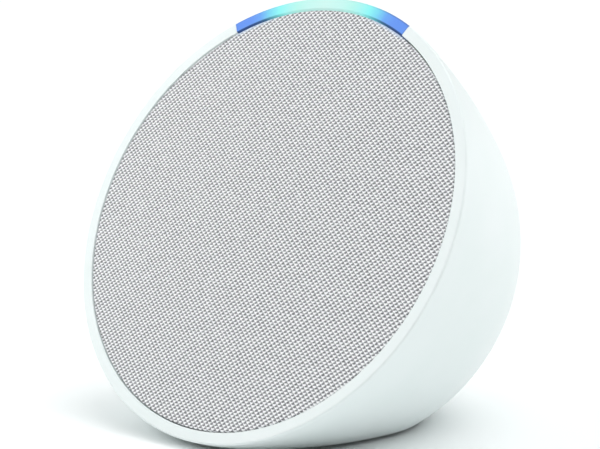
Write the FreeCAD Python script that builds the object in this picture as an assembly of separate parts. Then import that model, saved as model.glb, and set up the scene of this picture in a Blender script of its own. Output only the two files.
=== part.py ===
"""Compact half-round smart speaker: a dome-backed shell whose flat fabric face is tilted back.

Everything is drawn in the face frame and turned into the standing position when it is saved.
Face frame: origin at the centre of the flat face, X to the right, Y up along the face, Z out
of the face. A depth is a distance behind the face, along -Z.
Standing frame: X to the right, -Y to the front, Z up, origin under the middle of the object.
"""
import FreeCAD, Part
import math
import os

# Outside form
FACE_R = 49.5             # outer radius of the flat rim
WALL = 2.52               # shell wall, which is also the width of the flat rim
FACE_TILT = 26.0          # the face leans back by this much
FACE_HEIGHT = 46.46       # centre of the face above the table
BODY_DEPTH = 63.13        # face to the back of the dome, along the face's axis
SIDE_R = 142.7            # radius of the gently curved side
SIDE_LEAN = 5.03          # lean of the side towards the axis at the rim, degrees
RIM_ROUND = 0.4           # rounding of the rim's outer corner
FOOT_PROUD = 0.8          # the rubber foot stands this far below the shell
FLOOR_TOP = 3.1           # height of the inside of the shell's floor
FLOOR_GAP = 0.25          # clearance of the inner parts above the floor

# Grille
GRILLE_R = 46.7
FABRIC_RECESS = 0.19
FABRIC_T = 0.35
GRILLE_BACK = 2.5
GRILLE_HOLE_R = 1.7
GRILLE_HOLE_PITCH = 4.8
GRILLE_OPEN_R = 40.5
PEG_ANGLES = (15, 165, 205, 250, 290, 335)

# Light bar
BAR_HALF_ANGLE = 29.1
BAR_DEPTH = 4.4
BAR_INNER_R = 47.03
GUIDE_R = (43.9, 45.8)
GUIDE_BACK = 7.2
LED_COUNT = 8
LED_R = 44.3
LED_BOARD_SCREW_R = 43.3
LED_BOARD_SCREWS = (90 - BAR_HALF_ANGLE + 1.9, 90 + BAR_HALF_ANGLE - 1.9)

# Chassis and loudspeaker
SEAT_DEPTH = 2.7
BAFFLE_FRONT = 8.0
BAFFLE_BACK = 10.5
CHASSIS_SCREW_R = 38.5
CHASSIS_SCREW_ANGLES = (20, 160, 218, 322)
FLANGE_FRONT = 6.2
FLANGE_BACK = 7.2
DRIVER_SCREW_R = 29.5
DRIVER_SCREW_ANGLES = (45, 135, 225, 315)
CUP_SCREW_R = 33.2
CUP_SCREW_ANGLES = (0, 60, 120, 180, 240, 300)
CUP_BACK_Y = 20.0         # upright rear wall of the loudspeaker box, standing frame
CUP_WALL = 2.0
CUP_GROOVE = (31.5, 32.1)
PLATE_FRONT = 16.7        # magnet assembly, depths behind the face
PLATE_T = 2.2
MAGNET_T = 7.0
YOKE_T = 2.4
COIL_R = 8.0

# Buttons on top
BUTTON_DEPTH = 18.0       # centre of the button row behind the face
BUTTON_PITCH = 14.5
BUTTON_R = 4.2
BUTTON_GAP = 0.25
BUTTON_PROUD = 0.2
BUTTON_TRAVEL = 0.35
STEM_END = 7.3            # depths below the surface, along the buttons' common axis
SWITCH_TOP = 8.1
BOARD_TOP = 9.5
BOARD_T = 1.0
MIC_OFFSET = BUTTON_PITCH / 2
BUTTON_BOARD_SCREW_X = 20.9

# Main board and power inlet, standing frame
MAIN_BOARD_Y = 24.5
MAIN_BOARD_T = 1.6
MAIN_BOARD_R = 29.5
INLET_Z = 24.0
INLET_BACK_Y = 33.7
INLET_FRONT_Y = 23.3
INLET_SIZE = 9.0
INLET_BORE_R = 2.9
INLET_PIN_R = 1.0
POCKET_R = 5.4
BOARD_BOSSES = ((-17, 29), (17, 29), (-15, 52), (15, 52))
GROMMET_X = 9.0
GROMMET_Z = 27.0

# Foot
FOOT_Y = -7.0
FOOT_R = 22.0
FOOT_HOLE_R = 15.5
FOOT_TOP = 1.6

TILT = math.radians(FACE_TILT)
LEAN = math.radians(SIDE_LEAN)
SIDE_CENTRE = (-SIDE_R * math.sin(LEAN), FACE_R - SIDE_R * math.cos(LEAN))
REACH = BODY_DEPTH - SIDE_CENTRE[0]
CAP_R = (REACH**2 + SIDE_CENTRE[1]**2 - SIDE_R**2) / (2 * (REACH - SIDE_R))
CAP_CENTRE = BODY_DEPTH - CAP_R
FACE_FRONT_Y = -FACE_R * math.sin(TILT)
FACE_REAR_Y = CAP_CENTRE * math.cos(TILT) + CAP_R
FACE_Y = -(FACE_FRONT_Y + FACE_REAR_Y) / 2
DOME_CENTRE_Y = FACE_Y + CAP_CENTRE * math.cos(TILT)
DOME_CENTRE_Z = FACE_HEIGHT - CAP_CENTRE * math.sin(TILT)

V = FreeCAD.Vector
X_AXIS = V(1, 0, 0)
Y_AXIS = V(0, 1, 0)
Z_AXIS = V(0, 0, 1)
STAND = FreeCAD.Placement(V(0, FACE_Y, FACE_HEIGHT), FreeCAD.Rotation(X_AXIS, 90 - FACE_TILT))


# ---------------------------------------------------------------- drawing helpers
def placed(shape, placement):
    copy = shape.copy()
    copy.Placement = placement.multiply(copy.Placement)
    return copy


def standing(shape):
    """From the face frame to the standing frame."""
    return placed(shape, STAND)


def leaning(shape):
    """From the standing frame to the face frame."""
    return placed(shape, STAND.inverse())


def block(x, y, z):
    """Box between the two limits given for each axis."""
    return Part.makeBox(x[1] - x[0], y[1] - y[0], z[1] - z[0], V(x[0], y[0], z[0]))


def disc(radius, front, back, x=0.0, y=0.0):
    """Cylinder along the face's axis between two depths."""
    return Part.makeCylinder(radius, back - front, V(x, y, -back), Z_AXIS)


def ring(inner, outer, front, back):
    return disc(outer, front, back).cut(disc(inner, front - 1, back + 1))


def turned(points):
    """Solid of revolution about the face's axis from a closed outline of (radius, depth)."""
    corners = [V(r, 0, -depth) for r, depth in points]
    outline = Part.makePolygon(corners + corners[:1])
    return Part.Face(outline).revolve(V(0, 0, 0), Z_AXIS, 360)


def polar(radius, angle):
    a = math.radians(angle)
    return radius * math.cos(a), radius * math.sin(a)


def around(shape, angle):
    """A copy of a shape drawn along +X, turned about the face's axis."""
    return placed(shape, FreeCAD.Placement(V(0, 0, 0), FreeCAD.Rotation(Z_AXIS, angle)))


def sector(half_angle, radius, front, back):
    """Wedge about the top of the face between two depths."""
    points = [V(0, 0, -back)]
    for step in range(-4, 5):
        x, y = polar(radius, 90 + half_angle * step / 4)
        points.append(V(x, y, -back))
    face = Part.Face(Part.makePolygon(points + points[:1]))
    return face.extrude(V(0, 0, back - front))


def fused(shapes):
    return shapes[0].multiFuse(shapes[1:]).removeSplitter() if len(shapes) > 1 else shapes[0]


def rod(start, end, radius):
    start, end = V(*start), V(*end)
    return Part.makeCylinder(radius, (end - start).Length, start, end - start)


def cable(points, radius):
    """Round wire through the points, with rounded bends."""
    pieces = [rod(a, b, radius) for a, b in zip(points, points[1:])]
    pieces += [Part.makeSphere(radius, V(*p)) for p in points[1:-1]]
    return fused(pieces)


def screw(x, y, head_front, length, head_r=1.9, head_t=1.3, shank_r=0.95):
    """Pan-head self-tapping screw driven in from the front, with a cross recess."""
    under_head = head_front + head_t
    body = fused([disc(head_r, head_front, under_head, x, y),
                  disc(shank_r, under_head - 0.2, under_head + length, x, y)])
    slot = head_r * 0.62
    recess = block((x - slot, x + slot), (y - 0.25, y + 0.25), (-head_front - 0.7, -head_front + 1))
    recess = recess.fuse(block((x - 0.25, x + 0.25), (y - slot, y + slot),
                               (-head_front - 0.7, -head_front + 1)))
    return body.cut(recess)


# ---------------------------------------------------------------- outside form
def side_radius(depth, inset):
    return SIDE_CENTRE[1] + math.sqrt((SIDE_R - inset)**2 - (depth - SIDE_CENTRE[0])**2)


def dome(inset=0.0, front=0.0, rounding=0.0):
    """The solid inside the outside surface moved inwards: a curved side, then a round cap."""
    side_r = SIDE_R - inset
    cap_r = CAP_R - inset
    to_cap = (CAP_CENTRE - SIDE_CENTRE[0], -SIDE_CENTRE[1])
    join = math.atan2(to_cap[1], to_cap[0])
    rim_depth = front + rounding
    rim_r = side_radius(rim_depth, inset)
    start = math.atan2(rim_r - SIDE_CENTRE[1], rim_depth - SIDE_CENTRE[0])

    def on_arc(centre, radius, angle):
        depth = centre[0] + radius * math.cos(angle)
        return V(centre[1] + radius * math.sin(angle), 0, -depth)

    rim = V(rim_r, 0, -rim_depth)
    join_point = on_arc(SIDE_CENTRE, side_r, join)
    side_mid = on_arc(SIDE_CENTRE, side_r, (start + join) / 2)
    cap_mid = on_arc((CAP_CENTRE, 0), cap_r, join / 2)
    back = V(0, 0, -(CAP_CENTRE + cap_r))
    axis = V(0, 0, -front)
    edges = [Part.Arc(rim, side_mid, join_point).toShape(),
             Part.Arc(join_point, cap_mid, back).toShape(),
             Part.makeLine(back, axis)]
    if rounding:
        flat_end = V(rim_r - rounding, 0, -front)
        bend = V(rim_r - rounding * (1 - math.sqrt(0.5)), 0, -front - rounding * (1 - math.sqrt(0.5)))
        edges += [Part.makeLine(axis, flat_end), Part.Arc(flat_end, bend, rim).toShape()]
    else:
        edges.append(Part.makeLine(axis, rim))
    face = Part.Face(Part.Wire(Part.__sortEdges__(edges)))
    return face.revolve(V(0, 0, 0), Z_AXIS, 360)


def above(height):
    """Everything above a level, in the face frame."""
    return leaning(block((-80, 80), (-80, 80), (height, 160)))


OUTSIDE = dome(0.0, 0.0, RIM_ROUND).common(above(FOOT_PROUD))
INSIDE = dome(WALL, -1.0).common(above(FLOOR_TOP))
ROOM = dome(WALL + 0.2, -1.0).common(above(FLOOR_TOP + FLOOR_GAP))


# ---------------------------------------------------------------- button row placement
BUTTON_LEAN = math.asin((BUTTON_DEPTH - SIDE_CENTRE[0]) / SIDE_R)
BUTTON_PLACE = FreeCAD.Placement(
    V(0, side_radius(BUTTON_DEPTH, 0), -BUTTON_DEPTH),
    FreeCAD.Rotation(X_AXIS, -90 - math.degrees(BUTTON_LEAN)))
BUTTONS = (("volume_down", -BUTTON_PITCH), ("mic_off", 0.0), ("volume_up", BUTTON_PITCH))


def on_top(shape):
    """From the buttons' frame (X along the row, Z out of the surface) to the face frame."""
    return placed(shape, BUTTON_PLACE)


def post(x, y, radius, top, bottom):
    """Cylinder along the buttons' axis between two depths below the surface."""
    return on_top(Part.makeCylinder(radius, bottom - top, V(x, y, -bottom), Z_AXIS))


def slab(x, y, top, bottom):
    return on_top(block(x, y, (-bottom, -top)))


def ear_depth(x):
    """Depth of a button's retaining ears, just inside the curved wall."""
    inner_r = side_radius(BUTTON_DEPTH, WALL)
    edge = abs(x) + 1.8
    return WALL + inner_r - math.sqrt(inner_r**2 - edge**2) + 0.4


# ---------------------------------------------------------------- shell, foot
def shell_bosses():
    posts = []
    for angle in CHASSIS_SCREW_ANGLES:
        x, y = polar(CHASSIS_SCREW_R, angle)
        rib = block((CHASSIS_SCREW_R, FACE_R), (-0.8, 0.8), (-42, -BAFFLE_BACK - 3))
        posts.append(disc(3.1, BAFFLE_BACK, 44, x, y).fuse(around(rib, angle)))
    for side in (-1, 1):
        posts.append(post(side * BUTTON_BOARD_SCREW_X, 0, 1.8, 4.6, BOARD_TOP))
    return posts


def inlet_tube(radius, front, back):
    return leaning(Part.makeCylinder(radius, back - front, V(0, front, INLET_Z), Y_AXIS))


def rear_shell():
    shell = OUTSIDE.cut(INSIDE)
    for boss in shell_bosses() + [inlet_tube(POCKET_R + 1.5, INLET_BACK_Y + 0.15, 45)]:
        shell = shell.fuse(boss.common(OUTSIDE))
    cuts = [inlet_tube(POCKET_R, INLET_BACK_Y - 1, 50)]
    for angle in CHASSIS_SCREW_ANGLES:
        x, y = polar(CHASSIS_SCREW_R, angle)
        cuts.append(disc(0.95, BAFFLE_BACK - 1, BAFFLE_BACK + 9, x, y))
    for side in (-1, 1):
        cuts.append(post(side * BUTTON_BOARD_SCREW_X, 0, 0.75, 6.9, BOARD_TOP + 1))
        cuts.append(post(side * MIC_OFFSET, 0, 0.6, -3, 6))
    for _, x in BUTTONS:
        cuts.append(post(x, 0, BUTTON_R + BUTTON_GAP, -3, STEM_END))
    notch = sector(BAR_HALF_ANGLE, 60, -2, BAR_DEPTH + 0.1)
    cuts.append(notch.cut(disc(44, -3, BAR_DEPTH + 1)))
    foot_seat = block((-30, 30), (-40, 30), (-1, FOOT_TOP))
    foot_seat = foot_seat.common(foot_outline(FOOT_R + 0.1, FOOT_HOLE_R - 0.1, -1, FOOT_TOP))
    cuts.append(leaning(foot_seat))
    return shell.cut(Part.makeCompound(cuts)).removeSplitter()


def foot_outline(outer, inner, bottom, top):
    centre = V(0, FOOT_Y, bottom)
    pad = Part.makeCylinder(outer, top - bottom, centre, Z_AXIS)
    return pad.cut(Part.makeCylinder(inner, top - bottom, centre, Z_AXIS))


def foot_pad():
    pad = foot_outline(FOOT_R, FOOT_HOLE_R, 0, FOOT_TOP)
    lower = [edge for edge in pad.Edges if abs(edge.BoundBox.ZMax) < 1e-6]
    return leaning(pad.makeFillet(0.3, lower))


# ---------------------------------------------------------------- light bar
def bar_sector(outline, half_angle):
    span = math.degrees(0.05 / FACE_R)
    return outline.common(sector(half_angle - span, 70, -1, 20))


def light_bar():
    band = dome(0.0, 0.0, RIM_ROUND).common(disc(60, -1, BAR_DEPTH)).cut(disc(BAR_INNER_R, -1, 2.7))
    band = band.cut(disc(GUIDE_R[0], -1, BAR_DEPTH + 1))
    guide = ring(GUIDE_R[0], GUIDE_R[1], BAR_DEPTH - 0.5, GUIDE_BACK)
    whole = bar_sector(band, BAR_HALF_ANGLE).fuse(bar_sector(guide, BAR_HALF_ANGLE - 2))
    return whole.removeSplitter()


def led_angles():
    step = 2 * (BAR_HALF_ANGLE - 5) / (LED_COUNT - 1)
    return [90 - BAR_HALF_ANGLE + 5 + step * i for i in range(LED_COUNT)]


def leds():
    chip = block((LED_R - 0.8, LED_R + 0.8), (-0.8, 0.8), (-BAFFLE_FRONT, -7.35))
    return Part.makeCompound([around(chip, angle) for angle in led_angles()])


def led_board():
    board = bar_sector(ring(41.6, 45.3, BAFFLE_FRONT, BAFFLE_FRONT + 1.2), BAR_HALF_ANGLE)
    for angle in LED_BOARD_SCREWS:
        board = board.cut(disc(0.9, 7, 10, *polar(LED_BOARD_SCREW_R, angle)))
    return board


def led_board_screws():
    spots = [polar(LED_BOARD_SCREW_R, angle) for angle in LED_BOARD_SCREWS]
    return Part.makeCompound([screw(x, y, 7.2, 2.2, 1.3, 0.8, 0.7) for x, y in spots])


def light_reflector():
    strip = bar_sector(ring(42.2, 45.5, GUIDE_BACK + 0.02, BAFFLE_FRONT), BAR_HALF_ANGLE - 4.2)
    pocket = block((LED_R - 1.05, LED_R + 0.95), (-1.0, 1.0), (-9, -6))
    return strip.cut(Part.makeCompound([around(pocket, angle) for angle in led_angles()]))


# ---------------------------------------------------------------- grille
def hole_grid():
    """Staggered grid of holes over the open part of the grille."""
    row_step = GRILLE_HOLE_PITCH * math.sqrt(3) / 2
    rows = int(GRILLE_OPEN_R / row_step)
    holes = []
    for row in range(-rows, rows + 1):
        shift = GRILLE_HOLE_PITCH / 2 if row % 2 else 0.0
        for column in range(-9, 10):
            x = column * GRILLE_HOLE_PITCH + shift
            y = row * row_step
            if math.hypot(x, y) < GRILLE_OPEN_R:
                holes.append(disc(GRILLE_HOLE_R, 0, 4, x, y))
    return holes


def grille_frame():
    """Perforated plate with a thicker rim and snap pegs behind it."""
    edge = GRILLE_R - FABRIC_T
    front = FABRIC_RECESS + FABRIC_T
    plate = turned([(0, front), (edge, front), (edge, GRILLE_BACK), (42.2, GRILLE_BACK),
                    (41.6, GRILLE_BACK - 0.5), (0, GRILLE_BACK - 0.5)])
    plate = plate.cut(Part.makeCompound(hole_grid()))
    peg = block((44.0, 45.1), (-2.5, 2.5), (-5.4, -GRILLE_BACK + 0.1))
    hook = block((45.1, 45.65), (-2.5, 2.5), (-5.4, -SEAT_DEPTH - 1.7))
    return fused([plate] + [around(peg.fuse(hook), angle) for angle in PEG_ANGLES])


def grille_fabric():
    """Cloth stretched over the grille plate and bonded round its edge."""
    back = GRILLE_BACK - 0.1
    edge = GRILLE_R - FABRIC_T
    front = FABRIC_RECESS
    turn = 0.25
    return turned([(0, front), (GRILLE_R - turn, front), (GRILLE_R, front + turn), (GRILLE_R, back),
                   (edge, back), (edge, front + FABRIC_T), (0, front + FABRIC_T)])


# ---------------------------------------------------------------- chassis
def front_chassis():
    """Inner frame: seat for the grille, baffle for the driver, shelf for the light board."""
    body = turned([(22.4, BAFFLE_FRONT), (41.4, BAFFLE_FRONT), (43.0, SEAT_DEPTH + 1.6),
                   (43.0, SEAT_DEPTH), (46.2, SEAT_DEPTH), (46.2, SEAT_DEPTH + 1.6),
                   (44.8, SEAT_DEPTH + 1.6), (43.2, BAFFLE_BACK), (22.4, BAFFLE_BACK)])
    body = body.cut(sector(BAR_HALF_ANGLE + 1.5, 60, 0, BAFFLE_FRONT + 1.2).cut(disc(41.2, -1, 12)))
    body = body.fuse(bar_sector(ring(41.0, 45.0, BAFFLE_FRONT + 1.2, BAFFLE_BACK), BAR_HALF_ANGLE))
    cuts = []
    slot = block((43.75, 45.35), (-2.8, 2.8), (-6.2, 0))
    cuts += [around(slot, angle) for angle in PEG_ANGLES]
    for angle in CHASSIS_SCREW_ANGLES:
        cuts.append(disc(1.25, 5, 12, *polar(CHASSIS_SCREW_R, angle)))
    for angle in DRIVER_SCREW_ANGLES:
        cuts.append(disc(0.95, 7, 10, *polar(DRIVER_SCREW_R, angle)))
    for angle in CUP_SCREW_ANGLES:
        x, y = polar(CUP_SCREW_R, angle)
        cuts.append(disc(1.25, 7, 12, x, y).fuse(disc(2.1, 7, 9.4, x, y)))
    for angle in LED_BOARD_SCREWS:
        cuts.append(disc(0.7, 9, 10.3, *polar(LED_BOARD_SCREW_R, angle)))
    return body.cut(Part.makeCompound(cuts)).common(ROOM).removeSplitter()


def chassis_screws():
    spots = [polar(CHASSIS_SCREW_R, angle) for angle in CHASSIS_SCREW_ANGLES]
    return Part.makeCompound([screw(x, y, BAFFLE_FRONT - 1.3, 9) for x, y in spots])


# ---------------------------------------------------------------- loudspeaker
def driver_basket():
    """Pressed steel basket with four windows and four fixing ears."""
    basket = turned([(20.4, FLANGE_FRONT), (26.0, FLANGE_FRONT), (26.0, FLANGE_BACK),
                     (21.4, FLANGE_BACK), (17.6, 13.6), (14.5, 13.6), (14.5, PLATE_FRONT),
                     (9.4, PLATE_FRONT), (9.4, PLATE_FRONT - 1), (13.5, PLATE_FRONT - 1),
                     (13.5, 12.6), (16.9, 12.6)])
    window = block((14.2, 30), (-5.0, 5.0), (-12.2, -FLANGE_BACK - 0.6))
    for index in range(4):
        basket = basket.cut(around(window, 45 + 90 * index))
    for angle in DRIVER_SCREW_ANGLES:
        x, y = polar(DRIVER_SCREW_R, angle)
        ear = disc(3.6, FLANGE_FRONT, FLANGE_BACK, x, y)
        neck = block((24, DRIVER_SCREW_R), (-3.6, 3.6), (-FLANGE_BACK, -FLANGE_FRONT))
        basket = basket.fuse(ear.fuse(around(neck, angle))).cut(disc(1.3, 5, 8, x, y))
    return basket.removeSplitter()


def driver_gasket():
    pads = [ring(22.6, 26.0, FLANGE_BACK, BAFFLE_FRONT)]
    for angle in DRIVER_SCREW_ANGLES:
        pads.append(disc(3.4, FLANGE_BACK, BAFFLE_FRONT, *polar(DRIVER_SCREW_R, angle)))
        neck = block((24, DRIVER_SCREW_R), (-3.4, 3.4), (-BAFFLE_FRONT, -FLANGE_BACK))
        pads.append(around(neck, angle))
    holes = [disc(1.3, 6, 9, *polar(DRIVER_SCREW_R, angle)) for angle in DRIVER_SCREW_ANGLES]
    return fused(pads).cut(Part.makeCompound(holes))


def driver_screws():
    spots = [polar(DRIVER_SCREW_R, angle) for angle in DRIVER_SCREW_ANGLES]
    return Part.makeCompound([screw(x, y, FLANGE_FRONT - 1.2, 3.6, 1.9, 1.2, 0.9) for x, y in spots])


def arch(inner, outer, base, rise, thickness, steps=12):
    """Outline of a half roll between two radii, open at the back."""
    middle = (inner + outer) / 2
    half = (outer - inner) / 2
    upper = []
    lower = []
    for index in range(steps + 1):
        angle = math.pi * index / steps
        upper.append((middle - half * math.cos(angle), base - rise * math.sin(angle)))
        shrink = half - thickness
        lower.append((middle - shrink * math.cos(angle), base - (rise - thickness) * math.sin(angle)))
    return upper, lower[::-1]


def driver_surround():
    """Rubber half roll with a land on the basket and a land on the cone."""
    base = FLANGE_FRONT
    top = base - 0.4
    upper, lower = arch(19.0, 22.8, top, 1.6, 0.35)
    outline = [(17.4, top)] + upper + [(25.2, top), (25.2, base), (22.45, base)]
    outline += lower + [(19.35, base), (17.4, base)]
    return turned(outline)


def driver_cone():
    front = FLANGE_FRONT + 0.02
    return turned([(17.3, front), (18.8, front), (18.8, front + 0.4), (18.0, front + 0.4),
                   (COIL_R + 0.3, 11.3), (COIL_R + 0.02, 11.3), (COIL_R + 0.02, 10.8), (17.2, front + 0.4)])


def driver_dust_cap():
    """Shallow dome over the voice coil, bonded to the cone."""
    edge_depth = 10.5
    steps = 8
    outer = []
    inner = []
    for index in range(steps + 1):
        angle = math.pi / 2 * index / steps
        outer.append((8.6 * math.sin(angle), edge_depth - 2.4 * math.cos(angle)))
        inner.append((8.25 * math.sin(angle), edge_depth - 2.05 * math.cos(angle)))
    return turned(outer + inner[::-1])


def coil_former():
    return ring(COIL_R - 0.2, COIL_R, 10.3, 21.5)


def coil_winding():
    middle = PLATE_FRONT + PLATE_T / 2
    return ring(COIL_R, COIL_R + 0.35, middle - 2.8, middle + 2.8)


def driver_spider():
    """Corrugated cloth disc that centres the voice coil."""
    inner = COIL_R + 0.02
    outer = 16.2
    wave_start = inner + 0.8
    wave_end = 13.1
    waves = 3
    steps = waves * 6
    front = []
    back = []
    for index in range(steps + 1):
        r = wave_start + (wave_end - wave_start) * index / steps
        depth = 12.3 + 0.45 * math.sin(2 * math.pi * waves * index / steps)
        front.append((r, depth - 0.15))
        back.append((r, depth + 0.15))
    outline = [(inner, 12.15)] + front + [(outer, 12.3), (outer, 12.59), (13.6, 12.59)]
    return turned(outline + back[::-1] + [(inner, 12.45)])


def driver_top_plate():
    return ring(COIL_R + 0.75, 16.0, PLATE_FRONT, PLATE_FRONT + PLATE_T)


def driver_magnet():
    front = PLATE_FRONT + PLATE_T
    return ring(10.5, 16.6, front, front + MAGNET_T)


def driver_yoke():
    front = PLATE_FRONT + PLATE_T + MAGNET_T
    pole = COIL_R - 0.6
    return turned([(1.5, PLATE_FRONT - 0.2), (pole, PLATE_FRONT - 0.2), (pole, front), (16.0, front),
                   (15.6, front + YOKE_T), (1.5, front + YOKE_T)])


def driver_terminals():
    """Insulating strip on the basket with two solder tabs."""
    strip = block((-6, 6), (-18.6, -14.6), (-14.4, -13.62))
    tabs = [block((x - 1.2, x + 1.2), (-20.4, -17.2), (-14.8, -14.4)) for x in (-3.6, 3.6)]
    return fused([strip] + tabs)


# ---------------------------------------------------------------- loudspeaker box
def cup_form(inset, back_y):
    points = [(0, 8), (33 - inset, 8), (33 - inset, 12.5), (31.5 - inset, 26), (28 - inset, 36),
              (22 - inset * 0.8, 44 - inset * 0.6), (18 - inset * 0.5, 46 - inset), (0, 46 - inset)]
    limit = leaning(block((-80, 80), (-80, back_y), (-20, 140)))
    return turned(points).common(limit)


def upright(x, z, radius, front, back):
    """Cylinder along the standing frame's Y axis."""
    return leaning(Part.makeCylinder(radius, back - front, V(x, front, z), Y_AXIS))


def enclosure_cup():
    """Rear half of the loudspeaker box, with an upright wall that carries the main board."""
    outer = cup_form(0, CUP_BACK_Y).common(disc(60, BAFFLE_BACK, 60))
    cup = outer.fuse(disc(34.6, BAFFLE_BACK, BAFFLE_BACK + 2))
    for angle in CUP_SCREW_ANGLES:
        cup = cup.fuse(disc(2.3, BAFFLE_BACK, BAFFLE_BACK + 8, *polar(CUP_SCREW_R, angle)))
    for x, z in BOARD_BOSSES:
        cup = cup.fuse(upright(x, z, 2.3, CUP_BACK_Y - 3, MAIN_BOARD_Y))
    cuts = [cup_form(CUP_WALL, CUP_BACK_Y - CUP_WALL)]
    for angle in CUP_SCREW_ANGLES:
        cuts.append(disc(0.95, BAFFLE_BACK - 1, BAFFLE_BACK + 7, *polar(CUP_SCREW_R, angle)))
    for x, z in BOARD_BOSSES:
        cuts.append(upright(x, z, 0.85, CUP_BACK_Y - 1, MAIN_BOARD_Y + 1))
    cuts.append(upright(GROMMET_X, GROMMET_Z, 2.2, CUP_BACK_Y - 6, CUP_BACK_Y + 2))
    cuts.append(ring(CUP_GROOVE[0], CUP_GROOVE[1], BAFFLE_BACK - 1, BAFFLE_BACK + 0.8))
    return cup.cut(Part.makeCompound(cuts)).removeSplitter()


def enclosure_gasket():
    """Foam ring pressed into the groove in the box's front edge."""
    return ring(CUP_GROOVE[0] + 0.05, CUP_GROOVE[1] - 0.05, BAFFLE_BACK, BAFFLE_BACK + 0.8)


def enclosure_screws():
    spots = [polar(CUP_SCREW_R, angle) for angle in CUP_SCREW_ANGLES]
    return Part.makeCompound([screw(x, y, BAFFLE_FRONT + 0.1, 7) for x, y in spots])


def wire_grommet():
    flange = upright(GROMMET_X, GROMMET_Z, 3.2, CUP_BACK_Y, CUP_BACK_Y + 0.9)
    neck = upright(GROMMET_X, GROMMET_Z, 2.15, CUP_BACK_Y - 2.6, CUP_BACK_Y + 0.2)
    holes = [upright(GROMMET_X + side, GROMMET_Z, 0.62, 10, 30) for side in (-0.85, 0.85)]
    return flange.fuse(neck).cut(Part.makeCompound(holes)).removeSplitter()


def to_face(x, y, z):
    point = STAND.inverse().multVec(V(x, y, z))
    return (point.x, point.y, point.z)


def speaker_wires():
    """Two wires from the driver's tabs, through the grommet, to the main board."""
    wires = []
    for side in (-1, 1):
        x = GROMMET_X + 0.85 * side
        path = [(3.6 * side, -19.4, -15.4), (3.6 * side, -22.5, -20), (6 + 3 * side, -20.5, -34),
                to_face(x, CUP_BACK_Y - 4, GROMMET_Z), to_face(x, CUP_BACK_Y + 2.2, GROMMET_Z),
                to_face(x, CUP_BACK_Y + 3, GROMMET_Z + 3.2)]
        wires.append(cable(path, 0.6))
    return Part.makeCompound(wires)


# ---------------------------------------------------------------- button row
def symbol(name, x):
    """Raised mark on a button: a minus, a plus, or a struck ring."""
    bar = block((x - 2.2, x + 2.2), (-0.35, 0.35), (-4, 2))
    if name == "volume_down":
        return bar
    if name == "volume_up":
        return bar.fuse(block((x - 0.35, x + 0.35), (-2.2, 2.2), (-4, 2)))
    circle = Part.makeCylinder(2.2, 6, V(x, 0, -4)).cut(Part.makeCylinder(1.6, 6, V(x, 0, -4)))
    stroke = block((-2.0, 2.0), (-0.3, 0.3), (-4, 2))
    stroke = placed(stroke, FreeCAD.Placement(V(x, 0, 0), FreeCAD.Rotation(Z_AXIS, 45)))
    return circle.fuse(stroke)


def button_cap(name, x):
    ear = ear_depth(x)
    cap = post(x, 0, BUTTON_R, -3, ear).common(dome(-BUTTON_PROUD, -1))
    mark = on_top(symbol(name, x)).common(dome(-BUTTON_PROUD - 0.2, -1))
    ears = slab((x - 1.8, x + 1.8), (-BUTTON_R - 1.4, BUTTON_R + 1.4), ear, ear + 0.4)
    stem = post(x, 0, 1.5, ear + 0.2, STEM_END)
    return fused([cap, mark, ears, stem])


def switch_plunger(x):
    return post(x, 0, 1.0, STEM_END, SWITCH_TOP + 0.8)


def switch_cans():
    cans = []
    for _, x in BUTTONS:
        can = slab((x - 2.3, x + 2.3), (-2.3, 2.3), SWITCH_TOP, BOARD_TOP)
        cans.append(can.cut(post(x, 0, 1.08, SWITCH_TOP - 1, SWITCH_TOP + 1.25)))
    return Part.makeCompound(cans)


def button_board():
    board = slab((-22.9, 22.9), (-4.5, 4.5), BOARD_TOP, BOARD_TOP + BOARD_T)
    holes = [post(side * BUTTON_BOARD_SCREW_X, 0, 0.9, 8, 12) for side in (-1, 1)]
    holes += [post(side * MIC_OFFSET, 0, 0.3, 8, 12) for side in (-1, 1)]
    return board.cut(Part.makeCompound(holes))


def button_board_screws():
    """Two small screws driven up from below the board."""
    screws = []
    for side in (-1, 1):
        x = side * BUTTON_BOARD_SCREW_X
        head = post(x, 0, 1.5, BOARD_TOP + BOARD_T, BOARD_TOP + BOARD_T + 0.9)
        shank = post(x, 0, 0.75, BOARD_TOP - 2.4, BOARD_TOP + BOARD_T + 0.2)
        drive = slab((x - 0.9, x + 0.9), (-0.22, 0.22), BOARD_TOP + BOARD_T + 0.45, BOARD_TOP + 3)
        screws.append(head.fuse(shank).cut(drive))
    return Part.makeCompound(screws)


def microphones():
    top = BOARD_TOP + BOARD_T
    cans = [slab((x - 1.75, x + 1.75), (-1.3, 1.3), top, top + 1.0) for x in (-MIC_OFFSET, MIC_OFFSET)]
    return Part.makeCompound(cans)


def mic_gaskets():
    """Soft tubes that lead sound from the shell's pin holes to the board."""
    tubes = []
    for x in (-MIC_OFFSET, MIC_OFFSET):
        tube = post(x, 0, 1.9, 1.5, BOARD_TOP).common(dome(WALL, -1))
        tubes.append(tube.cut(post(x, 0, 0.6, 0, 12)))
    return Part.makeCompound(tubes)


# ---------------------------------------------------------------- electronics
def main_board():
    """Round board behind the loudspeaker box, cut out round the power inlet."""
    board = Part.makeCylinder(MAIN_BOARD_R, MAIN_BOARD_T, V(0, MAIN_BOARD_Y, DOME_CENTRE_Z), Y_AXIS)
    board = board.common(block((-26.5, 26.5), (0, 60), (11.5, 67)))
    half = INLET_SIZE / 2 + 0.2
    board = board.cut(block((-half, half), (20, 40), (INLET_Z - half, INLET_Z + half)))
    for x, z in BOARD_BOSSES:
        board = board.cut(Part.makeCylinder(1.2, 10, V(x, 20, z), Y_AXIS))
    return leaning(board)


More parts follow.
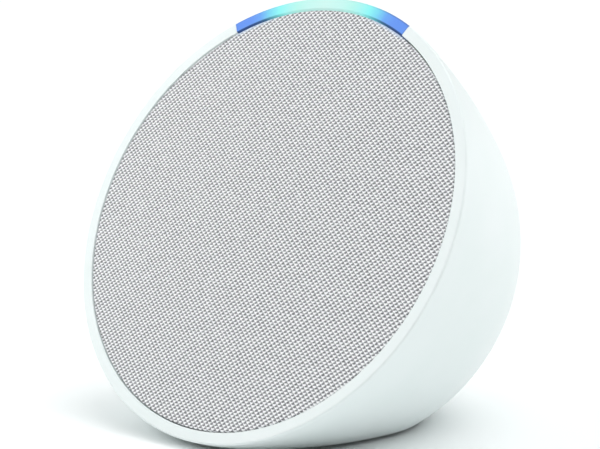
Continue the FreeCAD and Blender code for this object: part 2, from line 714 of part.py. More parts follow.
def main_board_screws():
    back = MAIN_BOARD_Y + MAIN_BOARD_T
    screws = []
    for x, z in BOARD_BOSSES:
        head = upright(x, z, 1.9, back, back + 1.3)
        shank = upright(x, z, 0.85, back - 5.5, back + 0.2)
        drive = leaning(block((x - 1.1, x + 1.1), (back + 0.6, back + 3), (z - 0.25, z + 0.25)))
        screws.append(head.fuse(shank).cut(drive))
    return Part.makeCompound(screws)


def processor_chips():
    """Processor, memory and radio packages on the board's front side."""
    sites = ((0, 45, 12, 12), (13.5, 42, 9, 11), (-12.5, 42, 8, 8))
    chips = []
    for x, z, width, height in sites:
        chips.append(leaning(block((x - width / 2, x + width / 2), (MAIN_BOARD_Y - 1.2, MAIN_BOARD_Y),
                                   (z - height / 2, z + height / 2))))
    return Part.makeCompound(chips)


def thermal_pad():
    return leaning(block((-18, 19), (CUP_BACK_Y + 1.4, MAIN_BOARD_Y - 1.2), (37, 48)))


def heat_spreader():
    plate = leaning(block((-20.5, 20.5), (CUP_BACK_Y + 0.2, CUP_BACK_Y + 1.4), (36, 58)))
    holes = [upright(x, z, 2.6, CUP_BACK_Y - 1, CUP_BACK_Y + 3) for x, z in BOARD_BOSSES[2:]]
    return plate.cut(Part.makeCompound(holes))


def shield_can():
    """Thin folded lid over the radio and processor circuits on the board's rear side."""
    back = MAIN_BOARD_Y + MAIN_BOARD_T
    outer = block((-12.5, 12.5), (back, back + 2.6), (36, 60))
    inner = block((-12.2, 12.2), (back - 1, back + 2.3), (36.3, 59.7))
    return leaning(outer.cut(inner))


def capacitors():
    back = MAIN_BOARD_Y + MAIN_BOARD_T
    spots = ((-11.5, 26, 3.1, 5.4), (11.5, 26, 3.1, 5.4), (17.5, 40, 2.5, 4.5))
    return Part.makeCompound([upright(x, z, r, back, back + h) for x, z, r, h in spots])


def wifi_antennas():
    """Two folded metal antennas at the sides of the board."""
    back = MAIN_BOARD_Y + MAIN_BOARD_T
    parts = []
    for side in (-1, 1):
        across = (19 * side - 3.5, 19 * side + 3.5)
        foot = block(across, (back, back + 0.4), (44, 48))
        upright_leg = block(across, (back, back + 4.0), (47.6, 48))
        lip = block(across, (back + 3.6, back + 4.0), (45, 48))
        parts.append(leaning(fused([foot, upright_leg, lip])))
    return Part.makeCompound(parts)


def board_connectors():
    """Loudspeaker plug housing, and a ribbon socket on the main board and the button board."""
    speaker = leaning(block((5.5, 12.5), (MAIN_BOARD_Y - 2.2, MAIN_BOARD_Y), (30.2, 34.5)))
    ribbon = leaning(block((-5, 5), (MAIN_BOARD_Y - 1.2, MAIN_BOARD_Y), (62.4, 65.4)))
    top = BOARD_TOP + BOARD_T
    upper = slab((-5, 5), (-1.6, 1.6), top, top + 1.2)
    return Part.makeCompound([speaker, ribbon, upper])


def ribbon_cable():
    """Flat cable from the button board to the main board."""
    start = BUTTON_PLACE.multVec(V(0, 1.62, -BOARD_TOP - BOARD_T - 0.65))
    start = STAND.multVec(start)
    path = [(start.y, start.z), (start.y + 2.5, start.z - 2.2), (start.y + 7, start.z - 4.2),
            (MAIN_BOARD_Y - 1.6, 68.2), (MAIN_BOARD_Y - 0.6, 65.42)]
    thickness = 0.25
    pieces = []
    for (y0, z0), (y1, z1) in zip(path, path[1:]):
        length = math.hypot(y1 - y0, z1 - z0)
        strip = block((-4, 4), (0, length), (-thickness / 2, thickness / 2))
        angle = math.degrees(math.atan2(z1 - z0, y1 - y0))
        pieces.append(placed(strip, FreeCAD.Placement(V(0, y0, z0), FreeCAD.Rotation(X_AXIS, angle))))
    for y, z in path[1:-1]:
        pieces.append(Part.makeCylinder(thickness / 2, 8, V(-4, y, z), X_AXIS))
    return leaning(fused(pieces))


# ---------------------------------------------------------------- power inlet
def inlet_housing():
    half = INLET_SIZE / 2
    body = block((-half, half), (INLET_FRONT_Y, INLET_BACK_Y), (INLET_Z - half, INLET_Z + half))
    bore = Part.makeCylinder(INLET_BORE_R, 20, V(0, INLET_FRONT_Y + 1.2, INLET_Z), Y_AXIS)
    pin_seat = Part.makeCylinder(INLET_PIN_R, 20, V(0, INLET_FRONT_Y - 1, INLET_Z), Y_AXIS)
    return leaning(body.cut(bore.fuse(pin_seat)))


def inlet_pin():
    length = INLET_BACK_Y - 0.8 - INLET_FRONT_Y
    pin = Part.makeCylinder(INLET_PIN_R, length - 0.4, V(0, INLET_FRONT_Y, INLET_Z), Y_AXIS)
    tip = Part.makeCone(INLET_PIN_R, INLET_PIN_R - 0.35, 0.4,
                        V(0, INLET_FRONT_Y + length - 0.4, INLET_Z), Y_AXIS)
    return leaning(pin.fuse(tip).removeSplitter())


# ---------------------------------------------------------------- output
PARTS = {
    "rear_shell": rear_shell,
    "foot_pad": foot_pad,
    "light_bar": light_bar,
    "light_reflector": light_reflector,
    "leds": leds,
    "led_board": led_board,
    "led_board_screws": led_board_screws,
    "grille_frame": grille_frame,
    "grille_fabric": grille_fabric,
    "front_chassis": front_chassis,
    "chassis_screws": chassis_screws,
    "driver_basket": driver_basket,
    "driver_gasket": driver_gasket,
    "driver_screws": driver_screws,
    "driver_surround": driver_surround,
    "driver_cone": driver_cone,
    "driver_dust_cap": driver_dust_cap,
    "coil_former": coil_former,
    "coil_winding": coil_winding,
    "driver_spider": driver_spider,
    "driver_top_plate": driver_top_plate,
    "driver_magnet": driver_magnet,
    "driver_yoke": driver_yoke,
    "driver_terminals": driver_terminals,
    "enclosure_cup": enclosure_cup,
    "enclosure_gasket": enclosure_gasket,
    "enclosure_screws": enclosure_screws,
    "wire_grommet": wire_grommet,
    "speaker_wires": speaker_wires,
    "switch_cans": switch_cans,
    "button_board": button_board,
    "button_board_screws": button_board_screws,
    "microphones": microphones,
    "mic_gaskets": mic_gaskets,
    "main_board": main_board,
    "main_board_screws": main_board_screws,
    "processor_chips": processor_chips,
    "thermal_pad": thermal_pad,
    "heat_spreader": heat_spreader,
    "shield_can": shield_can,
    "capacitors": capacitors,
    "wifi_antennas": wifi_antennas,
    "board_connectors": board_connectors,
    "ribbon_cable": ribbon_cable,
    "inlet_housing": inlet_housing,
    "inlet_pin": inlet_pin,
}


def save(name, shape):
    standing(shape).exportStep(f"parts/{name}.step")


os.makedirs("parts", exist_ok=True)
for part_name, build in PARTS.items():
    save(part_name, build())
for button_name, button_x in BUTTONS:
    save(f"button_{button_name}", button_cap(button_name, button_x))
    save(f"switch_plunger_{button_name}", switch_plunger(button_x))
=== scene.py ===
"""Looks of the compact half-round smart speaker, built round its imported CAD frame."""
import math

import bmesh
import bpy
import numpy as np
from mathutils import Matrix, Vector


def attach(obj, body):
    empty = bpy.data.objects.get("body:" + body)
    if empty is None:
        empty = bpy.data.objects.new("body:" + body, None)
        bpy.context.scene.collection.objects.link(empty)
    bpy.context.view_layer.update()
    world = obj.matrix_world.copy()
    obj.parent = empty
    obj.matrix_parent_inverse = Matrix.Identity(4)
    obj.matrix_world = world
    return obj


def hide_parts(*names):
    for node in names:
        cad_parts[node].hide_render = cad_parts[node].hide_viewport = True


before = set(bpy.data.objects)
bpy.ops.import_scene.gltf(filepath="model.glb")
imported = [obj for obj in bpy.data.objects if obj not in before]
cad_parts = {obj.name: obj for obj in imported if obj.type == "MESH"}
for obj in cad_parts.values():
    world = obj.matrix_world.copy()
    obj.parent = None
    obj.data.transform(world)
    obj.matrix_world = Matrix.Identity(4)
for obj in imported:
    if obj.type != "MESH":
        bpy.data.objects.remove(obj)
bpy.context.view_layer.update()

MM = 0.001

# The flat face in the standing frame: its centre, its upward direction and its outward normal
TILT = math.radians(26.0)
FACE_CENTRE = Vector((0.0, -19.806, 46.46)) * MM
FACE_UP = Vector((0.0, math.sin(TILT), math.cos(TILT)))
FACE_OUT = Vector((0.0, -math.cos(TILT), math.sin(TILT)))
FACE_RIGHT = Vector((1.0, 0.0, 0.0))
RIM_R = 49.5 * MM

# Outside profile, as (depth behind the face, distance from the face's axis)
SIDE_R = 142.7 * MM
SIDE_LEAN = math.radians(5.03)
SIDE_CENTRE = (-SIDE_R * math.sin(SIDE_LEAN), RIM_R - SIDE_R * math.cos(SIDE_LEAN))
CAP_R = 45.166 * MM
CAP_CENTRE = (17.964 * MM, 0.0)
CAP_START = 32.076 * MM      # depth at which the side runs into the round back
RIM_ROUND = 0.4 * MM
RIM_EDGE_R = 49.465 * MM     # where the rim's rounding meets the side
ON_SURFACE = 0.02 * MM       # a point this near to the ideal surface lies on it

# Raised marks of the buttons: heights above the side between which the print begins
MARK_FOOT = 0.24 * MM
MARK_TOP = 0.32 * MM

# Light bar: its reach each side of the top, and the spans over which its look changes
BAR_HALF_ANGLE = math.radians(29.1)
BAR_WALL = (47.05 * MM, 47.25 * MM)          # radii: from the wall beside the cloth to the front
BAR_ROUNDING = (49.05 * MM, 49.35 * MM)      # radii: from the front to the rounded edge
BAR_FRONT = (0.2 * MM, 0.5 * MM)             # depths: from the rounded edge to the side

# Where the bar's light is painted on the cloth: radii, and radians from the top over which that begins and
# ends
SPILL_R = (45.9 * MM, 46.5 * MM)
SPILL_BEGINS = (0.25, 0.36)
SPILL_ENDS = (0.49, 0.53)

# Grille cloth
CLOTH_R = 46.7 * MM
CLOTH_RECESS = 0.19 * MM     # how far its highest threads lie behind the rim
CLOTH_TURN = 0.25 * MM       # radius of the bend at the edge
CLOTH_BACK = 2.3 * MM        # depth to which the edge is turned back
WARP_PITCH = 0.650 * MM      # upright threads, side by side
WEFT_PITCH = 0.555 * MM      # level threads, one above the other
WARP_CROWN = 0.04 * MM       # depths behind the crowns of the level threads
BESIDE_CROWN = 0.07 * MM
WEAVE_GAP = 0.15 * MM

# Studio
HORIZON = 1.03               # brightness of the pale backdrop behind the table
SKY = 0.02                   # brightness of the darker studio above it
HORIZON_TOP = 0.10           # sines of the elevation between which one runs into the other
SKY_FOOT = 0.16
LAMP_AIM = (0.0, 0.0, 0.045)     # the middle of the speaker


# ---------------------------------------------------------------- node helpers
def srgb(r, g, b):
    """Display colour, 0 to 255, as the linear colour that a shader takes."""
    out = []
    for value in (r, g, b):
        c = value / 255
        out.append(c / 12.92 if c <= 0.04045 else ((c + 0.055) / 1.055) ** 2.4)
    return (*out, 1.0)


class Tree:
    """A material and short ways to add nodes to it."""

    def __init__(self, name):
        self.material = bpy.data.materials.new(name)
        self.material.use_nodes = True
        self.nodes = self.material.node_tree.nodes
        self.links = self.material.node_tree.links
        self.shader = self.nodes["Principled BSDF"]

    def node(self, kind, **settings):
        made = self.nodes.new(kind)
        for key, value in settings.items():
            setattr(made, key, value)
        return made

    def link(self, source, target):
        self.links.new(source, target)

    def put(self, value, socket):
        """Feeds a socket with another node's output, or with a number."""
        if hasattr(value, "is_output"):
            self.link(value, socket)
        else:
            socket.default_value = value

    def math(self, operation, a, b=0.0):
        made = self.node("ShaderNodeMath", operation=operation)
        self.put(a, made.inputs[0])
        self.put(b, made.inputs[1])
        return made.outputs[0]

    def plus(self, first, second, weight):
        """The first number plus the second one times its weight."""
        return self.math("ADD", first, self.math("MULTIPLY", second, weight))

    def length(self, a, b):
        """Length of the vector whose two parts are a and b."""
        return self.math("SQRT", self.math("ADD", self.math("MULTIPLY", a, a), self.math("MULTIPLY", b, b)))

    def mixed(self, factor, first, second):
        """A colour that goes from a node's colour to a fixed one."""
        made = self.node("ShaderNodeMix", data_type="RGBA")
        from_colour, to_colour = made.inputs[6:8]
        self.link(factor, made.inputs["Factor"])
        self.link(first, from_colour)
        to_colour.default_value = second
        return made.outputs[2]

    def object_point(self):
        return self.node("ShaderNodeTexCoord").outputs["Object"]

    def along(self, point, origin, direction):
        """How far a point lies from an origin, measured along a direction."""
        away = self.node("ShaderNodeVectorMath", operation="SUBTRACT")
        self.link(point, away.inputs[0])
        away.inputs[1].default_value = origin
        dot = self.node("ShaderNodeVectorMath", operation="DOT_PRODUCT")
        self.link(away.outputs[0], dot.inputs[0])
        dot.inputs[1].default_value = direction
        return dot.outputs["Value"]

    def noise(self, point, scale, detail=2.0):
        """A noise from 0 to 1 with so many grains to the metre."""
        made = self.node("ShaderNodeTexNoise")
        made.inputs["Scale"].default_value = scale
        made.inputs["Detail"].default_value = detail
        self.link(point, made.inputs["Vector"])
        return made.outputs["Fac"]

    def ramp(self, factor, stops):
        """A colour that runs through stops, given as (place from 0 to 1, colour)."""
        made = self.node("ShaderNodeValToRGB")
        elements = made.color_ramp.elements
        while len(elements) < len(stops):
            elements.new(0.5)
        for element, (place, colour) in zip(elements, stops):
            element.position = place
            element.color = colour
        self.link(factor, made.inputs["Fac"])
        return made.outputs["Color"]

    def dimmed(self, colour, factor):
        """A colour times a number."""
        made = self.node("ShaderNodeVectorMath", operation="SCALE")
        self.link(colour, made.inputs[0])
        self.put(factor, made.inputs["Scale"])
        return made.outputs[0]

    def wander(self, point, scale, detail=2.0):
        """A noise that lies about zero."""
        return self.math("SUBTRACT", self.noise(point, scale, detail), 0.5)

    def span(self, value, limits, start, end):
        """A number that goes from start to end while the value crosses the limits."""
        made = self.node("ShaderNodeMapRange")
        self.link(value, made.inputs["Value"])
        for name, number in zip(("From Min", "From Max", "To Min", "To Max"), (*limits, start, end)):
            made.inputs[name].default_value = number
        return made.outputs["Result"]

    def on_face(self, point):
        """A point's place on the face: across, up, distance from the axis, angle from the top."""
        across = self.along(point, FACE_CENTRE, FACE_RIGHT)
        up = self.along(point, FACE_CENTRE, FACE_UP)
        angle = self.math("ABSOLUTE", self.math("ARCTAN2", across, up))
        return across, up, self.length(across, up), angle

    def bump(self, height, distance, strength=1.0):
        made = self.node("ShaderNodeBump")
        made.inputs["Distance"].default_value = distance
        made.inputs["Strength"].default_value = strength
        self.link(height, made.inputs["Height"])
        self.link(made.outputs["Normal"], self.shader.inputs["Normal"])

    def set(self, **values):
        """Sets the shader's own numbers, with each socket's name written with underscores."""
        for key, value in values.items():
            self.shader.inputs[key.replace("_", " ")].default_value = value


# ---------------------------------------------------------------- materials
def two_tones(dark, light):
    """Ramp stops for a grain that runs between two close colours."""
    return [(0.3, srgb(*dark)), (0.7, srgb(*light))]


def speckled(name, dark, light, scale, rough, metallic):
    """A finish whose colour, gloss and surface vary a little, as moulded or coated parts do."""
    tree = Tree(name)
    point = tree.object_point()
    grain = tree.noise(point, scale, 3.0)
    tree.link(tree.ramp(grain, two_tones(dark, light)), tree.shader.inputs["Base Color"])
    tree.link(tree.plus(rough, tree.wander(point, scale / 4), 0.15), tree.shader.inputs["Roughness"])
    tree.bump(grain, 0.02 * MM)
    tree.set(Metallic=metallic)
    return tree.material


def satin_white(name):
    """Satin white moulding with a faint green-blue cast and a very fine moulded texture.

    Returns the tree, the point and the moulding's colour, which is still to be linked.
    """
    tree = Tree(name)
    point = tree.object_point()
    colour = tree.ramp(tree.noise(point, 60.0), two_tones((231, 240, 239), (235, 242, 242)))
    tree.link(tree.plus(0.37, tree.wander(point, 250.0), 0.1), tree.shader.inputs["Roughness"])
    tree.bump(tree.noise(point, 900.0), 0.0015 * MM)
    tree.set(IOR=1.46)
    return tree, point, colour


def shell_material():
    """The moulding as it is."""
    tree, _, colour = satin_white("shell_white")
    tree.link(colour, tree.shader.inputs["Base Color"])
    return tree.material


def button_material(name):
    """The moulding, with the button's raised mark printed grey.

    The mark is found by its height above the side's arc, in the button's own coordinates.
    """
    tree, point, colour = satin_white(name)
    to_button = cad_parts[name].matrix_world.inverted()
    centre = to_button @ FACE_CENTRE
    turned = to_button.to_3x3()
    across, up, out = (tree.along(point, centre, turned @ way) for way in (FACE_RIGHT, FACE_UP, FACE_OUT))
    behind = tree.math("SUBTRACT", tree.math("MULTIPLY", out, -1.0), SIDE_CENTRE[0])
    aside = tree.math("SUBTRACT", tree.length(across, up), SIDE_CENTRE[1])
    height = tree.math("SUBTRACT", tree.length(behind, aside), SIDE_R)
    printed = tree.span(height, (MARK_FOOT, MARK_TOP), 0.0, 1.0)
    tree.link(tree.mixed(printed, colour, srgb(120, 128, 130)), tree.shader.inputs["Base Color"])
    return tree.material


def bar_colours():
    """The bar's colours from its middle (0) to its end (1)."""
    return [(0.0, srgb(212, 254, 247)), (0.20, srgb(203, 254, 247)), (0.31, srgb(190, 254, 244)),
            (0.41, srgb(175, 253, 249)), (0.515, srgb(147, 254, 253)), (0.62, srgb(129, 224, 251)),
            (0.72, srgb(114, 176, 253)), (0.82, srgb(108, 158, 250)), (1.0, srgb(104, 154, 247))]


def bar_material():
    """Frosted diffuser lit from inside: pale at the middle, through cyan, to blue at the ends."""
    tree = Tree("light_bar")
    point = tree.object_point()
    _, _, radius, angle = tree.on_face(point)
    depth = tree.math("MULTIPLY", tree.along(point, FACE_CENTRE, FACE_OUT), -1.0)
    place = tree.math("DIVIDE", angle, BAR_HALF_ANGLE)
    glow = tree.ramp(tree.plus(place, tree.wander(point, 1500.0), 0.03), bar_colours())

    # Less light leaves the wall beside the cloth, the rounded edge and the very ends.
    # A place is 0 at the bar's middle and 1 at its end.
    wall_loss = tree.math("MULTIPLY", tree.span(radius, BAR_WALL, 1.0, 0.0),
                          tree.span(place, (0.45, 0.7), 0.1, 0.72))
    edge_loss = tree.math("MULTIPLY", tree.span(radius, BAR_ROUNDING, 0.0, 0.4),
                          tree.span(depth, BAR_FRONT, 1.0, 0.0))
    edge_loss = tree.math("MULTIPLY", edge_loss, tree.span(place, (0.5, 0.7), 0.35, 1.0))
    tip = tree.span(place, (0.988, 0.996), 1.0, 0.8)
    shown = tree.math("MULTIPLY", tree.math("SUBTRACT", 1.0, wall_loss),
                      tree.math("SUBTRACT", 1.0, edge_loss))
    lit = tree.dimmed(glow, tree.math("MULTIPLY", shown, tip))
    tree.link(lit, tree.shader.inputs["Emission Color"])
    tree.link(tree.dimmed(lit, 0.21), tree.shader.inputs["Base Color"])
    tree.bump(tree.noise(point, 2500.0), 0.004 * MM)
    tree.set(Roughness=0.45, Specular_IOR_Level=0.12, Emission_Strength=0.73)
    return tree.material


def cloth_material():
    """Plain weave: white level threads over grey upright ones, with fibre in each thread, painted shade
    that makes each level thread lighter on its upper side, and the bar's light painted on its edge.
    """
    tree = Tree("grille_cloth")
    point = tree.object_point()
    across, up, radius, angle = tree.on_face(point)

    # Phases of the two sets of threads, which wander a little sideways
    elsewhere = tree.dimmed(point, -1.0)
    warp = tree.plus(tree.wander(point, 900.0, 1.0), across, math.pi / WARP_PITCH)
    weft = tree.plus(tree.wander(elsewhere, 900.0, 1.0), up, math.pi / WEFT_PITCH)

    # Which thread is over, and how its slant and its twist show; painted shade makes each level thread
    # lighter on its upper side, as light from above would
    painted_shade_phase = 1.13
    twist_phase = 0.66
    over = tree.math("MULTIPLY", tree.math("COSINE", warp), tree.math("COSINE", weft))
    slant = tree.math("MULTIPLY", tree.math("SINE", warp), tree.math("SINE", weft))
    painted_thread_shade = tree.math("COSINE", tree.math("SUBTRACT", tree.math("MULTIPLY", weft, 2.0), painted_shade_phase))
    both = tree.math("MULTIPLY", tree.math("ADD", warp, weft), 2.0)
    twist = tree.math("COSINE", tree.math("ADD", both, twist_phase))
    # From here on, over also carries the painted shade of the threads, into the colour and the bump
    for part, weight in ((slant, 0.17), (painted_thread_shade, 0.30), (twist, 0.15)):
        over = tree.plus(over, part, weight)
    fibre = tree.wander(point, 6500.0)
    uneven = tree.wander(point, 1500.0, 1.0)
    level = tree.plus(tree.plus(over, fibre, 2.2), uneven, 0.6)
    weave = tree.ramp(tree.span(level, (-1.1, 1.1), 0.0, 1.0),
                      [(0.0, srgb(70, 71, 75)), (0.25, srgb(129, 130, 134)), (0.50, srgb(206, 207, 210)),
                       (0.75, srgb(252, 252, 254)), (1.0, srgb(254, 254, 255))])

    # Painted light: the bar's glow painted into the cloth's colour at its edge, near each end of the bar
    by_angle = tree.math("MULTIPLY", tree.span(angle, SPILL_BEGINS, 0.0, 1.0),
                         tree.span(angle, SPILL_ENDS, 1.0, 0.0))
    lit = tree.math("MULTIPLY", tree.span(radius, SPILL_R, 0.0, 0.8), by_angle)
    tree.link(tree.mixed(lit, weave, srgb(214, 230, 252)), tree.shader.inputs["Base Color"])
    tree.bump(tree.plus(over, fibre, 0.6), 0.03 * MM, 0.6)
    tree.set(Roughness=0.85, Sheen_Weight=0.15, Sheen_Roughness=0.5)
    return tree.material


# ---------------------------------------------------------------- shell
def outside_form(points):
    """Height above the ideal outside surface, and that surface's normal, at each point.

    The surface is the flat rim, the rim's rounding, the side's arc and the round back.
    """
    face_out = np.array(FACE_OUT)
    away = points - np.array(FACE_CENTRE)
    depth = -(away @ face_out)
    radial = away + depth[:, None] * face_out
    radius = np.linalg.norm(radial, axis=1)
    radial /= np.maximum(radius, 1e-9)[:, None]

    zones = [depth < RIM_ROUND, depth > CAP_START]
    centre_depth = np.select(zones, [RIM_ROUND, CAP_CENTRE[0]], SIDE_CENTRE[0])
    centre_radius = np.select(zones, [RIM_EDGE_R - RIM_ROUND, CAP_CENTRE[1]], SIDE_CENTRE[1])
    curve = np.select(zones, [RIM_ROUND, CAP_R], SIDE_R)
    behind = depth - centre_depth
    aside = radius - centre_radius
    reach = np.hypot(behind, aside)
    normal = (radial * aside[:, None] - face_out * behind[:, None]) / reach[:, None]
    height = reach - curve

    flat = (depth < ON_SURFACE) & (radius < RIM_EDGE_R - RIM_ROUND)
    normal[flat] = face_out
    height[flat] = -depth[flat]
    return height, normal


def outside_faces(form):
    """The faces that lie on the outside surface, and each vertex's height above it and normal."""
    form.verts.ensure_lookup_table()
    height, normal = outside_form(np.array([vert.co for vert in form.verts]))
    found = []
    for face in form.faces:
        corners = [vert.index for vert in face.verts]
        lies_on_it = np.abs(height[corners]).max() < ON_SURFACE
        faces_out = face.normal.dot(Vector(normal[corners[0]])) > 0.9
        if lies_on_it and faces_out:
            found.append(face)
    return found, height, normal


def shell_moulding():
    """The shell with its outside surface divided finer and laid exactly on its true curve."""
    form = bmesh.new()
    form.from_mesh(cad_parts["rear_shell"].data)
    bmesh.ops.remove_doubles(form, verts=form.verts, dist=1e-6)
    form.normal_update()
    form.verts.index_update()
    outside, _, _ = outside_faces(form)
    edges = list(dict.fromkeys(edge for face in outside for edge in face.edges))
    bmesh.ops.subdivide_edges(form, edges=edges, cuts=1, use_grid_fill=True, use_single_edge=True)
    bmesh.ops.triangulate(form, faces=[face for face in form.faces if len(face.verts) > 3])
    form.normal_update()
    form.verts.index_update()
    outside, height, normal = outside_faces(form)
    for index in {vert.index for face in outside for vert in face.verts}:
        form.verts[index].co -= Vector(normal[index]) * float(height[index])
    form.faces.index_update()
    chosen = {face.index for face in outside}
    mesh = bpy.data.meshes.new("shell_moulding")
    form.to_mesh(mesh)
    form.free()
    mesh.shade_smooth()
    mesh.set_sharp_from_angle(angle=math.radians(25))
    true_normals = np.zeros((len(mesh.loops), 3))
    for polygon in mesh.polygons:
        if polygon.index in chosen:
            for loop in polygon.loop_indices:
                true_normals[loop] = normal[mesh.loops[loop].vertex_index]
    mesh.normals_split_custom_set(true_normals.tolist())
    shell = bpy.data.objects.new("shell_moulding", mesh)
    bpy.context.scene.collection.objects.link(shell)
    mesh.materials.append(shell_material())
    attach(shell, "speaker")
    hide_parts("rear_shell")


# ---------------------------------------------------------------- grille cloth
def face_points(across, up, depth):
    """Points in the standing frame from coordinates on the face."""
    across, up, depth = (np.asarray(v, float)[:, None] for v in np.broadcast_arrays(across, up, depth))
    level = np.array(FACE_CENTRE) + across * np.array(FACE_RIGHT) + up * np.array(FACE_UP)
    return level - depth * np.array(FACE_OUT)


def weave_depth(column, row):
    """Depth of the cloth's surface at half-thread steps: crowns, crossings between them, and gaps."""
    at_warp = column % 2 == 1
    at_weft = row % 2 == 1
    level_over = ((column // 2 + row // 2) % 2) == 0
    depth = np.full(column.shape, WEAVE_GAP)
    depth[at_warp ^ at_weft] = BESIDE_CROWN
    crown = at_warp & at_weft
    depth[crown & level_over] = 0.0
    depth[crown & ~level_over] = WARP_CROWN
    return depth


def cloth_grid(flat_r):
    """The flat of the cloth: each vertex's place on the face and depth, and the quads between."""
    step_x = WARP_PITCH / 2
    step_y = WEFT_PITCH / 2
    half_x = int(flat_r / step_x) + 2
    half_y = int(flat_r / step_y) + 2
    column, row = np.meshgrid(np.arange(-half_x, half_x + 1), np.arange(-half_y, half_y + 1), indexing="ij")
    x = column * step_x
    y = row * step_y
    near = np.hypot(x, y) < flat_r
    cell = near[:-1, :-1] & near[1:, :-1] & near[:-1, 1:] & near[1:, 1:]
    used = np.zeros(near.shape, bool)
    for dx in (0, 1):
        for dy in (0, 1):
            used[dx:dx + cell.shape[0], dy:dy + cell.shape[1]] |= cell
    index = np.full(near.shape, -1)
    index[used] = np.arange(used.sum())
    depth = CLOTH_RECESS + weave_depth(column + 2 * half_x, row + 2 * half_y)    # counted from a corner
    i, j = np.nonzero(cell)
    quads = np.stack([index[i, j], index[i + 1, j], index[i + 1, j + 1], index[i, j + 1]], 1)
    return x[used], y[used], depth[used], quads


def outline(quads):
    """The vertices round the outside of the quads, in order."""
    sides = np.concatenate([quads[:, [0, 1]], quads[:, [1, 2]], quads[:, [2, 3]], quads[:, [3, 0]]])
    _, first, count = np.unique(np.sort(sides, 1), axis=0, return_index=True, return_counts=True)
    following = dict(sides[first[count == 1]].tolist())
    start = next(iter(following))
    loop = [start]
    while following[loop[-1]] != start:
        loop.append(following[loop[-1]])
    return np.array(loop)


def turned_edge(flat_r):
    """Radius and depth of each ring of the edge, from the face round to the back."""
    steps = 3
    rings = [(flat_r, CLOTH_RECESS + WARP_CROWN)]
    for step in range(1, steps + 1):
        part = step / steps
        bend = math.pi / 2 * part
        rings.append((flat_r + CLOTH_TURN * math.sin(bend),
                      CLOTH_RECESS + CLOTH_TURN * (1 - math.cos(bend)) + WARP_CROWN * (1 - part)))
    rings.append((CLOTH_R, CLOTH_BACK))
    return rings


def grille_cloth():
    """Woven sheet: a fine relief over the face, turned back round the grille's edge."""
    flat_r = CLOTH_R - CLOTH_TURN
    x, y, depth, quads = cloth_grid(flat_r)
    points = [face_points(x, y, depth)]
    faces = [quads]
    previous = outline(quads)
    angle = np.arctan2(y[previous], x[previous])
    total = len(x)
    for radius, level in turned_edge(flat_r):
        points.append(face_points(radius * np.cos(angle), radius * np.sin(angle), level))
        ring = total + np.arange(len(angle))
        total += len(ring)
        faces.append(np.stack([previous, ring, np.roll(ring, -1), np.roll(previous, -1)], 1))
        previous = ring
    mesh = bpy.data.meshes.new("grille_cloth")
    mesh.from_pydata(np.concatenate(points).tolist(), [], np.concatenate(faces).tolist())
    mesh.validate()
    mesh.shade_smooth()
    mesh.update()
    cloth = bpy.data.objects.new("grille_cloth", mesh)
    bpy.context.scene.collection.objects.link(cloth)
    mesh.materials.append(cloth_material())
    return cloth


# ---------------------------------------------------------------- stage
def stage():
    """A pale table that reaches to the horizon."""
    mesh = bpy.data.meshes.new("floor")
    half = 150.0
    corners = [(-half, -half, 0), (half, -half, 0), (half, half, 0), (-half, half, 0)]
    mesh.from_pydata(corners, [], [(0, 1, 2, 3)])
    floor = bpy.data.objects.new("floor", mesh)
    bpy.context.scene.collection.objects.link(floor)
    tree = Tree("floor_pale")
    pale = tree.ramp(tree.noise(tree.object_point(), 3.0), two_tones((242, 245, 245), (244, 247, 247)))
    tree.link(pale, tree.shader.inputs["Base Color"])
    tree.set(Roughness=0.9, Specular_IOR_Level=0.1)
    mesh.materials.append(tree.material)


def lamp(name, kind, place, power, size):
    """A lamp that points at the middle of the speaker; its size is metres across, or degrees for a sun."""
    data = bpy.data.lights.new(name, kind)
    data.energy = power
    if kind == "SUN":
        data.angle = math.radians(size)
    else:
        data.shape = "DISK"
        data.size = size
    made = bpy.data.objects.new(name, data)
    bpy.context.scene.collection.objects.link(made)
    made.location = place
    made.rotation_mode = "QUATERNION"
    made.rotation_quaternion = (Vector(LAMP_AIM) - Vector(place)).to_track_quat("-Z", "Y")


def surroundings():
    """A world that is bright round the horizon and dark above."""
    world = bpy.data.worlds.new("studio")
    bpy.context.scene.world = world
    world.use_nodes = True
    nodes = world.node_tree.nodes
    links = world.node_tree.links
    background = nodes["Background"]
    direction = nodes.new("ShaderNodeTexCoord").outputs["Generated"]
    split = nodes.new("ShaderNodeSeparateXYZ")
    links.new(direction, split.inputs["Vector"])
    brightness = nodes.new("ShaderNodeMapRange")
    links.new(split.outputs["Z"], brightness.inputs["Value"])
    for name, value in (("From Min", HORIZON_TOP), ("From Max", SKY_FOOT),
                        ("To Min", HORIZON), ("To Max", SKY)):
        brightness.inputs[name].default_value = value
    links.new(brightness.outputs["Result"], background.inputs["Strength"])
    background.inputs["Color"].default_value = (1.0, 1.0, 1.0, 1.0)


def lights():
    """Wide soft lamps all round, strongest from above and from the right, and a near one at the left."""
    lamp("overhead", "SUN", (0.0, 0.0, 1.0), 1.40, 110)
    lamp("left_front", "SUN", (-0.7, -0.5, 0.6), 0.62, 60)
    lamp("high_right", "SUN", (0.45, 0.1, 0.9), 1.20, 70)
    lamp("left_back", "SUN", (-1.0, 0.3, 0.5), 0.26, 60)
    lamp("back", "SUN", (0.2, 0.8, 1.0), 0.93, 90)
    lamp("left_near", "AREA", (-0.28, -0.22, 0.25), 0.28, 0.25)


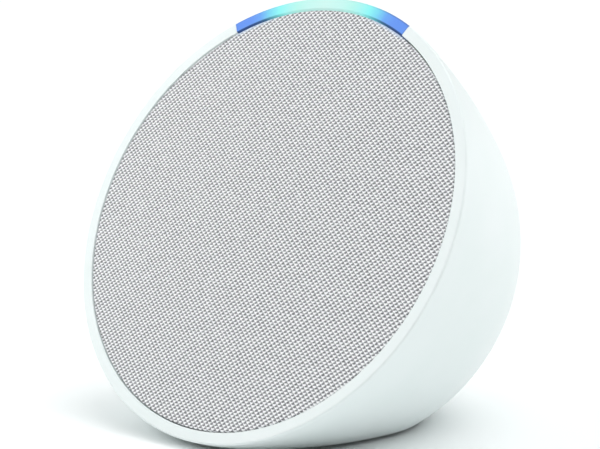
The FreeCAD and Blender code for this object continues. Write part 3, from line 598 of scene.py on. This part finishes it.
def camera():
    """The photograph's view: 40 degrees round to the right, a little above, with a long lens."""
    azimuth = math.radians(40.19)
    elevation = math.radians(7.55)
    aim = Vector((6.46, -14.75, 44.12)) * MM
    distance = 354.3
    back = Vector((math.sin(azimuth) * math.cos(elevation), -math.cos(azimuth) * math.cos(elevation),
                   math.sin(elevation)))
    data = bpy.data.cameras.new("photo_view")
    data.sensor_width = 36.0
    data.lens = 102.0
    data.clip_start = 0.01
    view = bpy.data.objects.new("photo_view", data)
    bpy.context.scene.collection.objects.link(view)
    view.location = aim + back * distance * MM
    view.rotation_mode = "QUATERNION"
    view.rotation_quaternion = (-back).to_track_quat("-Z", "Y")
    bpy.context.scene.camera = view


# ---------------------------------------------------------------- assembly
# Name, dark tone, light tone, grains to the metre, roughness, metallic, and the nodes that have it
FINISHES = (
    ("screw_steel", (150, 150, 150), (180, 180, 180), 2500.0, 0.35, 1.0,
     "led_board_screws chassis_screws driver_screws enclosure_screws button_board_screws "
     "main_board_screws"),
    ("plated_metal", (170, 170, 168), (195, 195, 192), 1800.0, 0.33, 1.0,
     "driver_top_plate driver_yoke driver_terminals shield_can wifi_antennas switch_cans microphones "
     "heat_spreader capacitors"),
    ("copper", (176, 98, 52), (205, 124, 70), 2500.0, 0.35, 1.0, "coil_winding"),
    ("contact_metal", (205, 180, 120), (222, 200, 145), 1500.0, 0.25, 1.0, "inlet_pin"),
    ("black_plastic", (24, 24, 26), (34, 34, 36), 1500.0, 0.57, 0.0,
     "front_chassis enclosure_cup inlet_housing board_connectors"),
    ("grille_plastic", (96, 97, 99), (108, 109, 111), 1500.0, 0.55, 0.0, "grille_frame"),
    ("white_plastic", (225, 225, 222), (238, 238, 235), 1500.0, 0.48, 0.0, "light_reflector leds"),
    ("foot_rubber", (150, 154, 156), (164, 168, 170), 1500.0, 0.77, 0.0, "foot_pad"),
    ("soft_rubber", (20, 20, 20), (30, 30, 31), 1200.0, 0.68, 0.0,
     "driver_surround wire_grommet mic_gaskets speaker_wires"),
    ("foam", (32, 32, 33), (52, 52, 53), 3000.0, 0.9, 0.0, "driver_gasket enclosure_gasket"),
    ("basket_paint", (28, 28, 30), (38, 38, 40), 1500.0, 0.42, 0.0, "driver_basket"),
    ("ferrite", (48, 48, 50), (66, 66, 68), 1100.0, 0.62, 0.0, "driver_magnet"),
    ("cone_poly", (34, 34, 36), (44, 44, 46), 900.0, 0.53, 0.0,
     "driver_cone driver_dust_cap coil_former"),
    ("spider_cloth", (150, 112, 48), (176, 138, 70), 2500.0, 0.85, 0.0, "driver_spider"),
    ("circuit_board", (14, 62, 36), (22, 80, 48), 700.0, 0.42, 0.0, "led_board button_board main_board"),
    ("chip_epoxy", (18, 18, 19), (27, 27, 28), 1800.0, 0.55, 0.0,
     "processor_chips switch_plunger_volume_down switch_plunger_mic_off switch_plunger_volume_up"),
    ("gap_filler", (112, 128, 140), (128, 144, 156), 900.0, 0.75, 0.0, "thermal_pad"),
    ("flat_cable", (212, 212, 205), (228, 228, 222), 900.0, 0.45, 0.0, "ribbon_cable"),
)


def give(material, node):
    """Makes a material the only one of a carried-over CAD node."""
    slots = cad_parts[node].data.materials
    slots.clear()
    slots.append(material)


def finish_nodes():
    """Gives every carried-over CAD node its material."""
    give(shell_material(), "rear_shell")
    give(bar_material(), "light_bar")
    for button in ("button_volume_down", "button_mic_off", "button_volume_up"):
        give(button_material(button), button)
    for *finish, nodes in FINISHES:
        material = speckled(*finish)
        for node in nodes.split():
            give(material, node)


finish_nodes()
shell_moulding()
cloth = grille_cloth()
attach(cloth, "speaker")
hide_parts("grille_fabric")
stage()
surroundings()
lights()
camera()
bpy.context.scene.view_settings.view_transform = "Standard"
